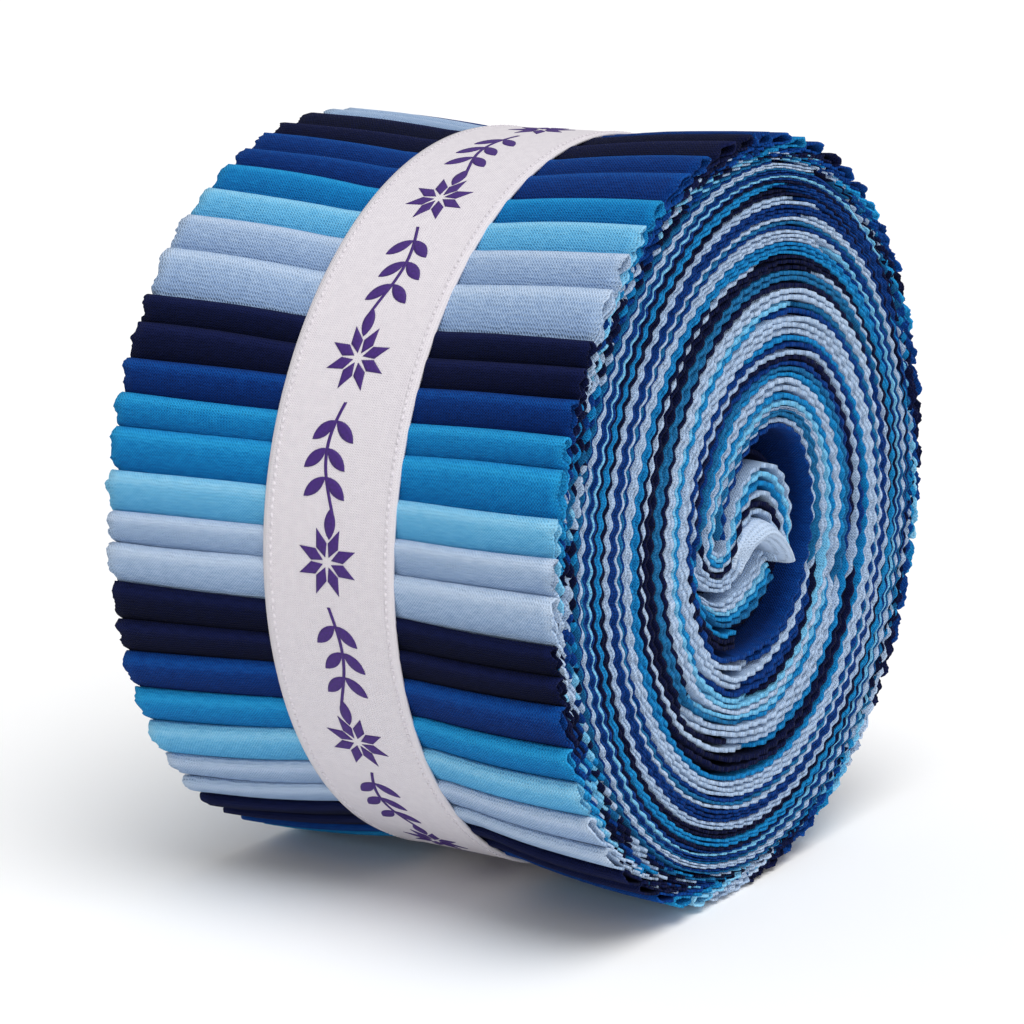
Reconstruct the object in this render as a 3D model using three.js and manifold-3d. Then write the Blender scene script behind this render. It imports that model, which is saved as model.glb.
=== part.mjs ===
// A roll of folded fabric strips, held by a flat woven ribbon round its middle.
// Millimetres, +Z up. The roll lies on its side with its axis along X, its end with the loose corner
// facing +X, and it stands on z = 0 with its box centred over the origin.
// The wound strips are one solid: folded strip ends lapped like shingles outside, a spiral at each end,
// and an open pocket where the inner strips turn back on themselves.
import * as THREE from "three";
import Module from "manifold-3d";
import { mergeVertices } from "three/addons/utils/BufferGeometryUtils.js";

const wasm = await Module();
wasm.setup();

// Driving dimensions
const stripWidth = 63.5;
const rollRadius = 48.2;
const flatSpot = 16;
const ribbonWidth = 18.6;
const ribbonThickness = 1;
const ribbonRadius = 46.9;
const clearance = 0.3;

// The folded strip ends
const foldStand = 1.5;
const toothDepth = 1;
const pinchFlare = 9;
const pinchedStand = 0.3;
const pressedAngle = 12;
const pressedStand = 0.2;
const foldPitch = 5.8;

// The spiral at each end
const advance = 7.6;
const bandsPerAdvance = 2;
const bandDrop = 1.4;
const bandStep = 0.7;
const rimInset = 3.4;
const coreRadius = 16.5;
const coreCentre = new THREE.Vector2(3, -1);
const coreDrop = 1.3;
const pocketDepth = 14;
const creaseDepth = 1.2;
const creaseWidth = 0.9;
const creaseLift = 2.2;
const creaseSteps = 3;

const halfWidth = stripWidth / 2;
const axisHeight = Math.sqrt(rollRadius ** 2 - (flatSpot / 2) ** 2);
const waistRadius = ribbonRadius - ribbonThickness - clearance;
const rimRadius = rollRadius - rimInset;
const rimX = halfWidth - toothDepth / 2;
const coreX = rimX - coreDrop;

// Fold tips, in degrees from +Y towards +Z: each row is one folded strip end that the front shows
const frontFolds = [
  { near: 102.0, far: 96.0 },
  { near: 106.2, far: 102.8 },
  { near: 110.3, far: 108.0 },
  { near: 114.6, far: 113.0 },
  { near: 121.4, far: 118.0 },
  { near: 126.2, far: 123.8 },
  { near: 131.4, far: 129.6 },
  { near: 137.3, far: 136.1 },
  { near: 144.8, far: 144.0 },
  { near: 148.9, far: 148.5 },
  { near: 153.2, far: 154.1 },
  { near: 158.4, far: 159.5 },
  { near: 162.9, far: 164.5 },
  { near: 169.6, far: 170.8 },
  { near: 175.0, far: 176.9 },
  { near: 180.3, far: 181.6 },
  { near: 187.3, far: 187.7 },
  { near: 191.8, far: 193.7 },
  { near: 196.2, far: 199.0 },
  { near: 203.0, far: 205.5 },
  { near: 209.0, far: 211.9 },
  { near: 215.8, far: 219.6 },
  { near: 223.0, far: 225.6 },
  { near: 229.6, far: 231.4 },
];

// How far the outline swells and sinks round the roll: the order of each wave and its two heights
const lumps = [
  { order: 2, cosine: 0.3, sine: 0.15 },
  { order: 3, cosine: 0.25, sine: -0.15 },
  { order: 4, cosine: -0.3, sine: -0.1 },
];

// One folded end's outline, from its tip to the next: a share of the pitch, and a drop from the crown
const foldOutline = [
  { share: 0, drop: 1 },
  { share: 0.04, drop: 0.3 },
  { share: 0.22, drop: 0 },
  { share: 0.62, drop: 0.25 },
];

function radians(degrees) {
  return (degrees * Math.PI) / 180;
}

// The rest of the fold tips carry on from the last at an even pitch until they meet the first again
function allFolds() {
  const first = frontFolds[0];
  const last = frontFolds.at(-1);
  const gap = first.near + 360 - last.near;
  const count = Math.round(gap / foldPitch);
  const folds = [...frontFolds];
  for (let i = 1; i < count; i += 1) {
    const share = i / count;
    folds.push({
      near: last.near + share * gap,
      far: last.far + share * (first.far + 360 - last.far),
    });
  }
  return folds;
}

function lumpAt(angle) {
  return lumps.reduce(
    (sum, { order, cosine, sine }) => sum + cosine * Math.cos(order * angle) + sine * Math.sin(order * angle),
    0,
  );
}

// 1 under the ribbon, easing to 0 where the folds stand at their full height again
function pinchAt(x) {
  const beyond = Math.max(Math.abs(x) - ribbonWidth / 2 - clearance, 0);
  return 1 - THREE.MathUtils.smoothstep(beyond, 0, pinchFlare);
}

// 1 at the foot of the roll, where its weight presses the folds flat, and 0 away from it
function pressAt(angle) {
  const fromFoot = angle + Math.PI / 2;
  const away = Math.abs(Math.atan2(Math.sin(fromFoot), Math.cos(fromFoot)));
  return 1 - THREE.MathUtils.smoothstep(away, radians(pressedAngle / 2), radians(pressedAngle));
}

function wrapPoint(x, angle, drop) {
  const pinch = pinchAt(x);
  const press = pressAt(angle);
  const pinched = THREE.MathUtils.lerp(1, pinchedStand, pinch);
  const pressed = THREE.MathUtils.lerp(1, pressedStand, press);
  const stand = foldStand * pinched * pressed;
  const swollen = rollRadius + lumpAt(angle) * (1 - press);
  const crown = THREE.MathUtils.lerp(swollen, waistRadius, pinch);
  const radius = crown - drop * stand;
  return new THREE.Vector3(
    x,
    radius * Math.cos(angle),
    Math.max(axisHeight + radius * Math.sin(angle), 0),
  );
}

// Gathers points and triangles into one closed mesh
class Shell {
  constructor() {
    this.points = [];
    this.faces = [];
  }

  add(point) {
    this.points.push(point);
    return this.points.length - 1;
  }

  triangle(a, b, c) {
    if (a !== b && b !== c && c !== a) this.faces.push(a, b, c);
  }

  quad(a, b, c, d) {
    this.triangle(a, b, c);
    this.triangle(a, c, d);
  }

  geometry() {
    const geometry = new THREE.BufferGeometry();
    const numbers = this.points.flatMap((point) => point.toArray());
    geometry.setAttribute("position", new THREE.Float32BufferAttribute(numbers, 3));
    geometry.setIndex(this.faces);
    return geometry;
  }
}

// The pleated wrap: columns of points across the roll, each one going round every fold
function addWrap(shell, folds) {
  const edge = ribbonWidth / 2 + clearance;
  const shoulders = [edge, edge + pinchFlare / 2, edge + pinchFlare];
  const columns = [-halfWidth, ...shoulders.toReversed().map((x) => -x), ...shoulders, halfWidth];
  const rings = columns.map((column) => {
    const ring = [];
    folds.forEach((fold, i) => {
      const next = folds[(i + 1) % folds.length];
      const turn = i + 1 === folds.length ? 360 : 0;
      foldOutline.forEach(({ share, drop }, corner) => {
        const across = (column + halfWidth) / stripWidth;
        const start = THREE.MathUtils.lerp(fold.far, fold.near, across);
        const end = THREE.MathUtils.lerp(next.far, next.near, across) + turn;
        const angle = radians(THREE.MathUtils.lerp(start, end, share));
        const atEnd = Math.abs(column) === halfWidth;
        const tooth = atEnd && corner % 2 === 0 ? toothDepth * Math.sign(column) : 0;
        const point = wrapPoint(column, angle, drop);
        point.x -= tooth;
        ring.push(shell.add(point));
      });
    });
    return ring;
  });
  for (let c = 0; c + 1 < rings.length; c += 1) {
    rings[c].forEach((here, i) => {
      const after = (i + 1) % rings[c].length;
      shell.quad(here, rings[c][after], rings[c + 1][after], rings[c + 1][i]);
    });
  }
  return { far: rings[0], near: rings.at(-1) };
}

// A point of the end face: the inner turns are wound round a centre that has slipped to one side
function facePoint(side, radius, angle, drop) {
  const slip = THREE.MathUtils.clamp((rimRadius - radius) / (rimRadius - coreRadius), 0, 1);
  const sink = coreDrop * THREE.MathUtils.smoothstep(slip, 0.5, 1);
  return new THREE.Vector3(
    side * (rimX - sink - drop),
    coreCentre.x * slip + radius * Math.cos(angle),
    axisHeight + coreCentre.y * slip + radius * Math.sin(angle),
  );
}

// An end of the roll: a spiral of bands between the rim and the core's disc, each with its outer edge
// low and its inner edge proud, so a band has two lines
function addEnd(shell, side, wrapRing, folds) {
  const steps = folds.length;
  const angles = folds.map((fold) => radians(side > 0 ? fold.near : fold.far));
  const turn = 2 * Math.PI;
  const linesPerAdvance = 2 * bandsPerAdvance;
  const bandPitch = advance / bandsPerAdvance;
  const nearest = bandStep / 2;
  const rim = angles.map((angle) => shell.add(facePoint(side, rimRadius, angle, 0)));
  const core = angles.map((angle) => shell.add(facePoint(side, coreRadius, angle, 0)));
  const made = new Map();

  function vertex(line, step) {
    if (step === steps) return vertex(line + linesPerAdvance, 0);
    const low = line % 2 !== 0;
    const wound = advance * ((angles[step] - angles[0]) / turn) + Math.floor(line / 2) * bandPitch;
    const radius = rimRadius - wound - (low ? bandStep : 0);
    if (radius > rimRadius - nearest) return rim[step];
    if (radius < coreRadius + nearest) return core[step];
    const key = `${line},${step}`;
    if (!made.has(key)) made.set(key, shell.add(facePoint(side, radius, angles[step], low ? bandDrop : 0)));
    return made.get(key);
  }

  function place(a, b, c, d) {
    if (side > 0) shell.quad(a, b, c, d);
    else shell.quad(d, c, b, a);
  }

  const corners = foldOutline.length;
  const lastLine = Math.ceil((2 * (rimRadius - coreRadius)) / bandPitch);
  for (let step = 0; step < steps; step += 1) {
    const after = (step + 1) % steps;
    for (let corner = 0; corner < corners; corner += 1) {
      const from = wrapRing[step * corners + corner];
      const to = wrapRing[(step * corners + corner + 1) % wrapRing.length];
      place(rim[step], from, to, rim[step]);
    }
    place(rim[step], wrapRing[after * corners], rim[after], rim[step]);
    for (let line = -linesPerAdvance; line <= lastLine; line += 1) {
      place(vertex(line + 1, step), vertex(line, step), vertex(line, step + 1), vertex(line + 1, step + 1));
    }
  }
  const middle = shell.add(facePoint(side, 0, 0, 0));
  core.forEach((here, step) => place(middle, here, core[(step + 1) % steps], middle));
}

function solidOf(geometry) {
  const merged = mergeVertices(geometry, 1e-4);
  const mesh = new wasm.Mesh({
    numProp: 3,
    vertProperties: Float32Array.from(merged.attributes.position.array),
    triVerts: Uint32Array.from(merged.index.array),
  });
  return new wasm.Manifold(mesh);
}

function geometryOf(solid) {
  const mesh = solid.getMesh();
  const geometry = new THREE.BufferGeometry();
  geometry.setAttribute("position", new THREE.BufferAttribute(Float32Array.from(mesh.vertProperties), 3));
  geometry.setIndex(new THREE.BufferAttribute(Uint32Array.from(mesh.triVerts), 1));
  return geometry;
}

// A loft through rings of points, capped with fans at both ends, or closed on itself
function loft(rings, closed) {
  const shell = new Shell();
  const ids = rings.map((ring) => ring.map((point) => shell.add(point)));
  const last = closed ? ids.length : ids.length - 1;
  for (let r = 0; r < last; r += 1) {
    const next = ids[(r + 1) % ids.length];
    ids[r].forEach((here, i) => {
      const after = (i + 1) % ids[r].length;
      shell.quad(here, ids[r][after], next[after], next[i]);
    });
  }
  if (!closed) {
    const ends = [ids[0].toReversed(), ids.at(-1)];
    for (const end of ends) {
      for (let i = 1; i + 1 < end.length; i += 1) shell.triangle(end[0], end[i], end[i + 1]);
    }
  }
  return shell.geometry();
}

// The pocket's outline, across and up from the roll's axis: its outer bank, then its inner bank
const pocketOutline = [
  { across: 2, up: 8.9 },
  { across: 7, up: 9.6 },
  { across: 12, up: 7.6 },
  { across: 15.5, up: 4 },
  { across: 17, up: 0 },
  { across: 16.8, up: -4 },
  { across: 15.5, up: -8 },
  { across: 12.5, up: -12 },
  { across: 8, up: -15 },
  { across: 3, up: -16 },
  { across: -1, up: -15.4 },
  { across: 3, up: -12.6 },
  { across: 6.5, up: -10 },
  { across: 9.5, up: -8.3 },
  { across: 12.9, up: -6.4 },
  { across: 13.9, up: -3 },
  { across: 13.9, up: 0 },
  { across: 12.5, up: 3 },
  { across: 10, up: 5.5 },
  { across: 6, up: 7.3 },
];

// The creases between the inner strips, which turn back in a hook and arch over to the right.
// Each is a smooth line through a few places, across and up from the roll's axis.
const creases = [
  {
    name: "hook slit",
    places: [
      { across: 1, up: 8.2 },
      { across: -2, up: 6.4 },
      { across: -4.8, up: 3 },
      { across: -7.2, up: -1.8 },
    ],
  },
  {
    name: "inner strip",
    places: [
      { across: 8, up: 12.6 },
      { across: -1, up: 11.2 },
      { across: -8.9, up: 4 },
      { across: -8.6, up: -2.8 },
      { across: -4.2, up: -2.9 },
      { across: 1, up: 4.4 },
      { across: 7.5, up: 3.6 },
      { across: 10.6, up: -4.5 },
    ],
  },
  {
    name: "middle strip",
    places: [
      { across: 2, up: 15.2 },
      { across: -8.5, up: 10 },
      { across: -12.2, up: 0 },
      { across: -8, up: -6.2 },
      { across: -3, up: -4.6 },
      { across: 1.4, up: 1.2 },
      { across: 5, up: 1.2 },
      { across: 9.4, up: -4 },
    ],
  },
  {
    name: "outer strip",
    places: [
      { across: -13.2, up: -3 },
      { across: -8, up: -8.6 },
      { across: -2, up: -8.6 },
      { across: 2.6, up: -4.4 },
    ],
  },
  {
    name: "short strips",
    places: [
      { across: -12, up: -8.6 },
      { across: -3, up: -12.7 },
      { across: 6, up: -9 },
    ],
  },
];

function pocketCut(side) {
  const shape = new THREE.Shape(pocketOutline.map(({ across, up }) => new THREE.Vector2(across, up)));
  const cut = new THREE.ExtrudeGeometry(shape, { depth: pocketDepth + toothDepth, bevelEnabled: false });
  cut.deleteAttribute("normal");
  cut.deleteAttribute("uv");
  const start = side > 0 ? coreX - pocketDepth : -coreX - toothDepth;
  const axes = new THREE.Matrix4().makeBasis(
    new THREE.Vector3(0, 1, 0),
    new THREE.Vector3(0, 0, 1),
    new THREE.Vector3(1, 0, 0),
  );
  cut.applyMatrix4(axes);
  cut.translate(start, 0, axisHeight);
  return solidOf(cut);
}

// A V-shaped crease along a smooth line on the core's disc, cut from above the disc down into it
function creaseCut(side, { places }) {
  const line = new THREE.SplineCurve(places.map(({ across, up }) => new THREE.Vector2(across, up)));
  const steps = creaseSteps * (places.length - 1);
  const half = (creaseWidth / 2) * (1 + creaseLift / creaseDepth);
  const rings = line.getPoints(steps).map((middle, i) => {
    const along = line.getTangent(i / steps);
    const left = new THREE.Vector2(-along.y, along.x).multiplyScalar(half);
    const corners = [
      new THREE.Vector3(side * (coreX + creaseLift), middle.x - left.x, axisHeight + middle.y - left.y),
      new THREE.Vector3(side * (coreX + creaseLift), middle.x + left.x, axisHeight + middle.y + left.y),
      new THREE.Vector3(side * (coreX - creaseDepth), middle.x, axisHeight + middle.y),
    ];
    return side > 0 ? corners.toReversed() : corners;
  });
  return solidOf(loft(rings, false));
}

function makeRoll() {
  const folds = allFolds();
  const shell = new Shell();
  const ends = addWrap(shell, folds);
  addEnd(shell, 1, ends.near, folds);
  addEnd(shell, -1, ends.far, folds);
  let solid = solidOf(shell.geometry());
  for (const side of [1, -1]) {
    solid = solid.subtract(pocketCut(side));
    for (const crease of creases) solid = solid.subtract(creaseCut(side, crease));
  }
  return geometryOf(solid);
}

// The ribbon: one flat closed band in the waist, leaning a little towards +X at the top
const ribbonSteps = 96;
const ribbonLean = 0.6;
const ribbonShift = 0.2;

function makeRibbon() {
  const rings = [];
  for (let step = 0; step < ribbonSteps; step += 1) {
    const angle = (step / ribbonSteps) * 2 * Math.PI;
    const middle = ribbonShift + ribbonLean * Math.sin(angle);
    const corners = [
      [ribbonRadius - ribbonThickness, 1],
      [ribbonRadius, 1],
      [ribbonRadius, -1],
      [ribbonRadius - ribbonThickness, -1],
    ];
    rings.push(
      corners.map(
        ([radius, side]) =>
          new THREE.Vector3(
            middle + (side * ribbonWidth) / 2,
            radius * Math.cos(angle),
            axisHeight + radius * Math.sin(angle),
          ),
      ),
    );
  }
  return loft(rings, true);
}

// The loose corner: the innermost strip's end, folded over and tapering to a tip beside the pocket.
// Each section has its place, half its width and its height above the core's disc.
const looseSections = [
  { across: -1.6, up: -6.2, half: 1.3, height: 0.7 },
  { across: -0.4, up: -3.6, half: 1.9, height: 1 },
  { across: 1.6, up: -2.1, half: 1.7, height: 1.3 },
  { across: 4.2, up: -1.9, half: 1.5, height: 1.5 },
  { across: 7, up: -3.4, half: 1.2, height: 1.5 },
  { across: 9.6, up: -5.5, half: 0.9, height: 1.4 },
  { across: 11.4, up: -7.1, half: 0.45, height: 1 },
];

// The section's outline: shares of the half width and of the height, with the crease left of the middle
const looseOutline = [
  { sideways: -1, rise: 0 },
  { sideways: 1, rise: 0 },
  { sideways: 1, rise: 0.5 },
  { sideways: 0.3, rise: 1 },
  { sideways: -0.6, rise: 0.8 },
];

function makeLooseCorner() {
  const foot = coreX + clearance;
  const rings = looseSections.map(({ across, up, half, height }, i) => {
    const before = looseSections[Math.max(i - 1, 0)];
    const after = looseSections[Math.min(i + 1, looseSections.length - 1)];
    const along = new THREE.Vector2(after.across - before.across, after.up - before.up).normalize();
    const left = new THREE.Vector2(-along.y, along.x);
    return looseOutline.map(({ sideways, rise }) => {
      const offset = left.clone().multiplyScalar(sideways * half);
      return new THREE.Vector3(foot + rise * height, across + offset.x, axisHeight + up + offset.y);
    });
  });
  return loft(rings, false);
}

function piece(name, geometry, colour, roughness) {
  const material = new THREE.MeshStandardMaterial({ color: colour, roughness, metalness: 0 });
  const mesh = new THREE.Mesh(geometry, material);
  mesh.name = name;
  return mesh;
}

const group = new THREE.Group();
group.add(piece("roll", makeRoll(), 0x2f6fb0, 0.9));
group.add(piece("ribbon", makeRibbon(), 0xe4dfe4, 0.6));
group.add(piece("loose_corner", makeLooseCorner(), 0xb8cdea, 0.9));

export default group;
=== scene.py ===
# A roll of folded cotton strips held by a woven ribbon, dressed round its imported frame.
# All shapes are worked out in millimetres with +Z up and the roll's axis along X, and written in metres.
import math

import bpy
import numpy as np
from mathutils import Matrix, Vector


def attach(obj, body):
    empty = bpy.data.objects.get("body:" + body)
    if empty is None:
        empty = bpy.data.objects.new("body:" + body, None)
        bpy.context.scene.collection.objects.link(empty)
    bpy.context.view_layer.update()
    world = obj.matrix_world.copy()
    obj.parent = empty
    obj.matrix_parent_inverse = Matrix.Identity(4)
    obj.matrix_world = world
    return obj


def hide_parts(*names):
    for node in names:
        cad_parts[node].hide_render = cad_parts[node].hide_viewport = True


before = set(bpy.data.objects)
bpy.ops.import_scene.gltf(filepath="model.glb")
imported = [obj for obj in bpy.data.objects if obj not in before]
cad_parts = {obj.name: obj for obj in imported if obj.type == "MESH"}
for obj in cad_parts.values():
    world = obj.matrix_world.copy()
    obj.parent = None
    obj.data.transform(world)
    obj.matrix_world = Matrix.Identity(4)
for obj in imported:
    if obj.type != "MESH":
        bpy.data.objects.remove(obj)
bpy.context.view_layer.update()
print("frame loaded:", ", ".join(sorted(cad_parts)))

metre = 0.001  # one millimetre, in metres
dice = np.random.default_rng(11)

# The roll as a whole, the same sizes as its solids have
roll = {
    "stripWidth": 63.5,
    "radius": 48.2,
    "flatSpot": 16.0,
    "toothPitch": 2.6,
    "toothDepth": 0.8,
    "restSoftness": 0.35,
}
halfWidth = roll["stripWidth"] / 2
axisHeight = math.sqrt(roll["radius"] ** 2 - (roll["flatSpot"] / 2) ** 2)

# Cotton colours, each a base, a darker tone and a lighter one: random slubs and threads reach both,
# painted shade in the hollows takes the darker, and a painted highlight on the fold crests the lighter
cottons = {
    "navy": {
        "base": (0.0020, 0.0045, 0.030),
        "deep": (0.0010, 0.0020, 0.012),
        "worn": (0.0070, 0.0120, 0.066),
        "slot": "navy_cotton",
    },
    "royal": {
        "base": (0.002, 0.030, 0.180),
        "deep": (0.001, 0.014, 0.090),
        "worn": (0.005, 0.074, 0.330),
        "slot": "royal_cotton",
    },
    "mid": {
        "base": (0.006, 0.205, 0.520),
        "deep": (0.003, 0.105, 0.330),
        "worn": (0.022, 0.340, 0.690),
        "slot": "mid_cotton",
    },
    # painted shade: teal is the mid cotton darkened, a shaded copy that shares its slot
    "teal": {
        "base": (0.008, 0.120, 0.310),
        "deep": (0.004, 0.056, 0.170),
        "worn": (0.022, 0.210, 0.450),
        "slot": "mid_cotton",
    },
    "sky": {
        "base": (0.150, 0.490, 0.780),
        "deep": (0.065, 0.320, 0.620),
        "worn": (0.300, 0.640, 0.880),
        "slot": "sky_cotton",
    },
    "ice": {
        "base": (0.355, 0.490, 0.700),
        "deep": (0.200, 0.310, 0.530),
        "worn": (0.540, 0.660, 0.840),
        "slot": "ice_cotton",
    },
}


def smoothstep(value, low, high):
    # 0 below low and 1 above high, with the cubic 3s^2 - 2s^3 between
    share = np.clip((value - low) / (high - low), 0, 1)
    return share * share * (3 - 2 * share)


def wander(along, waves, phases):
    # the mean of sines along the cloth, one for each wavelength, so it drifts between -1 and 1
    total = sum(np.sin(2 * np.pi * along / wave + phase) for wave, phase in zip(waves, phases))
    return total / len(waves)


def lobes(along, phase):
    # a pinked edge worn round: half of 1 - cos of the run along it, a little flatter on the teeth
    turn = 2 * np.pi * (along + phase) / roll["toothPitch"]
    return (0.5 - 0.5 * np.cos(turn)) ** 0.75


def smoothLine(points, density):
    # a line through the points: each stretch is a cubic whose slope at a point is half the chord
    # between the points on either side
    points = np.asarray(points, float)
    padded = np.vstack([2 * points[0] - points[1], points, 2 * points[-1] - points[-2]])
    before, start, end, after = padded[:-3], padded[1:-2], padded[2:-1], padded[3:]
    share = (np.arange(density) / density)[None, :, None]
    before, start, end, after = (p[:, None, :] for p in (before, start, end, after))
    curve = 0.5 * (
        2 * start
        + (end - before) * share
        + (2 * before - 5 * start + 4 * end - after) * share**2
        + (3 * start - before - 3 * end + after) * share**3
    )
    return np.vstack([curve.reshape(-1, points.shape[1]), points[-1:]])


def evenSteps(line, step):
    # the same line with its points an even step apart, and their distances from the start; the first
    # two columns are the place, and any others go along with it
    gaps = np.linalg.norm(np.diff(line[:, :2], axis=0), axis=1)
    run = np.concatenate([[0], np.cumsum(gaps)])
    count = max(int(round(run[-1] / step)), 2)
    along = np.linspace(0, run[-1], count + 1)
    return np.stack([np.interp(along, run, line[:, i]) for i in range(line.shape[1])], axis=1), along


def slopeNormals(line):
    # the unit normal at the right hand of the way along, in the plane across the roll's axis
    way = np.gradient(line, axis=-2)
    way /= np.maximum(np.linalg.norm(way, axis=-1, keepdims=True), 1e-9)
    return np.stack([way[..., 1], -way[..., 0]], axis=-1)


# Gathers the closed sheets of cloth that make one mesh
class Cloth:
    def __init__(self):
        self.points = []
        self.faces = []
        self.uvs = []
        self.edges = []
        self.tints = []
        self.count = 0
        self.area = 0.0
        self.span = 0.0

    def add(self, middle, normal, thickness, uv, edge, tint):
        # middle is a grid (along, across, 3): each point gives one on either side, half the
        # thickness away along the normal, and the two layers close round all four borders
        half = normal * thickness[..., None] / 2
        ring = np.concatenate([middle + half, (middle - half)[:, ::-1]], axis=1)
        along, across = middle.shape[:2]
        around = 2 * across
        index = np.arange(along * around).reshape(along, around) + self.count
        here, ahead = index[:-1], index[1:]
        sides = np.stack([here, ahead, np.roll(ahead, -1, axis=1), np.roll(here, -1, axis=1)], axis=-1)
        first, last = index[0], index[-1]
        k = np.arange(across - 1)
        back = around - 1 - k
        startCap = np.stack([first[k], first[k + 1], first[back - 1], first[back]], axis=-1)
        endCap = np.stack([last[k + 1], last[k], last[back], last[back - 1]], axis=-1)
        self.faces += [sides.reshape(-1, 4), startCap, endCap]
        self.points.append(ring.reshape(-1, 3))
        self.uvs.append(np.concatenate([uv, uv[:, ::-1]], axis=1).reshape(-1, 2))
        self.edges.append(np.concatenate([edge, edge[:, ::-1]], axis=1).ravel())
        self.tints.append(np.full(along * around, tint))
        self.count += along * around
        self.measure(middle)

    def addBodies(self, places, points, faces):
        # a copy of one small closed body at each place, turned by the three columns given with it
        count = len(places)
        moved = places[:, None, :3] + sum(
            points[None, :, k, None] * places[:, None, 3 + 3 * k : 6 + 3 * k] for k in range(3)
        )
        index = np.arange(count)[:, None, None] * len(points) + faces[None] + self.count
        self.faces.append(index.reshape(-1, 4))
        self.points.append(moved.reshape(-1, 3))
        self.uvs.append(moved.reshape(-1, 3)[:, :2])
        self.edges.append(np.zeros(count * len(points)))
        self.tints.append(np.zeros(count * len(points)))
        self.count += count * len(points)

    def measure(self, middle):
        # adds the sheet's area, from its length and its span, the mean width along the surface
        run = np.linalg.norm(np.diff(middle, axis=0), axis=-1).mean(axis=1).sum()
        self.span = np.linalg.norm(np.diff(middle, axis=1), axis=-1).sum(axis=1).mean()
        self.area += run * self.span


def makeMesh(name, cloth, material):
    # one object at the origin from a Cloth: quads, smooth, with its UV map in millimetres
    points = np.concatenate(cloth.points) * metre
    faces = np.concatenate(cloth.faces)
    uvs = np.concatenate(cloth.uvs)
    mesh = bpy.data.meshes.new(name)
    mesh.vertices.add(len(points))
    mesh.vertices.foreach_set("co", points.ravel())
    mesh.loops.add(faces.size)
    mesh.loops.foreach_set("vertex_index", faces.ravel())
    mesh.polygons.add(len(faces))
    mesh.polygons.foreach_set("loop_start", np.arange(0, faces.size, 4))
    mesh.update(calc_edges=True)
    mesh.polygons.foreach_set("use_smooth", np.ones(len(faces), bool))
    layer = mesh.uv_layers.new(name="cloth")
    layer.data.foreach_set("uv", uvs[faces.ravel()].ravel())
    for label, values in (("edge", cloth.edges), ("tint", cloth.tints)):
        attribute = mesh.attributes.new(label, "FLOAT", "POINT")
        attribute.data.foreach_set("value", np.concatenate(values))
    mesh.materials.append(material)
    mesh.update()
    piece = bpy.data.objects.new(name, mesh)
    bpy.context.scene.collection.objects.link(piece)
    print(f"{name}: {2 * len(faces)} triangles")
    return piece


# Materials: the cotton's weave, sizes in millimetres
weave = {
    "threadPitch": 0.40,
    "threadDepth": 0.09,
    "threadStrength": 0.8,
    "rowShare": 0.6,
    "sway": 9.0,
    "swayScale": 0.55,
    "slubDepth": 0.16,
    "slubStrength": 0.6,
    "slubScale": 1.3,
    "slubStretch": (2.6, 0.55, 1),
    "roughness": 0.88,
    "sheen": 0.02,
    "sheenRoughness": 0.45,
    "specular": 0.05,
}

# What each pattern adds to a cotton's tone, and the tones at which its three colours lie
toneSteps = {
    "start": 0.34,
    "slub": 0.42,
    "threads": 0.16,
    # edge brings painted highlight and painted shade, as well as the lighter cut edges
    "edge": 0.16,
    "deepAt": 0.30,
    "baseAt": 0.55,
    "wornAt": 0.85,
}


# Short ways to add and join the nodes of one new material
class NodeTools:
    def __init__(self, name, **surface):
        self.material = bpy.data.materials.new(name)
        self.material.use_nodes = True
        self.tree = self.material.node_tree
        self.tree.nodes.clear()
        output = self.add("ShaderNodeOutputMaterial")
        self.shader = self.add("ShaderNodeBsdfPrincipled")
        for key, value in surface.items():
            self.shader.inputs[key.replace("_", " ")].default_value = value
        self.join(self.shader.outputs[0], output.inputs[0])
        self.uv = self.add("ShaderNodeUVMap", uv_map="cloth").outputs[0]

    def add(self, kind, **values):
        node = self.tree.nodes.new(kind)
        for key, value in values.items():
            setattr(node, key, value)
        return node

    def join(self, source, target):
        self.tree.links.new(source, target)

    def sums(self, operation, *values):
        # a Math node of one or two values, each a number or another node's output
        node = self.add("ShaderNodeMath", operation=operation)
        for place, value in enumerate(values):
            if isinstance(value, (int, float)):
                node.inputs[place].default_value = value
            else:
                self.join(value, node.inputs[place])
        return node.outputs[0]

    def noise(self, place, scale, detail):
        node = self.add("ShaderNodeTexNoise")
        node.inputs["Scale"].default_value = scale
        node.inputs["Detail"].default_value = detail
        self.join(place, node.inputs["Vector"])
        return node.outputs["Fac"]

    def bump(self, height, strength, depth, before=None):
        node = self.add("ShaderNodeBump")
        node.inputs["Strength"].default_value = strength
        node.inputs["Distance"].default_value = depth * metre
        self.join(height, node.inputs["Height"])
        if before:
            self.join(before, node.inputs["Normal"])
        return node.outputs[0]

    def ramp(self, tone, stops):
        # stops are pairs of a tone and its colour, from the lowest up
        node = self.add("ShaderNodeValToRGB")
        elements = node.color_ramp.elements
        for k in (0, -1):
            elements[k].position = stops[k][0]
            elements[k].color = (*stops[k][1], 1)
        for place, colour in stops[1:-1]:
            elements.new(place).color = (*colour, 1)
        self.join(tone, node.inputs["Fac"])
        self.join(node.outputs[0], self.shader.inputs["Base Color"])


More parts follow.
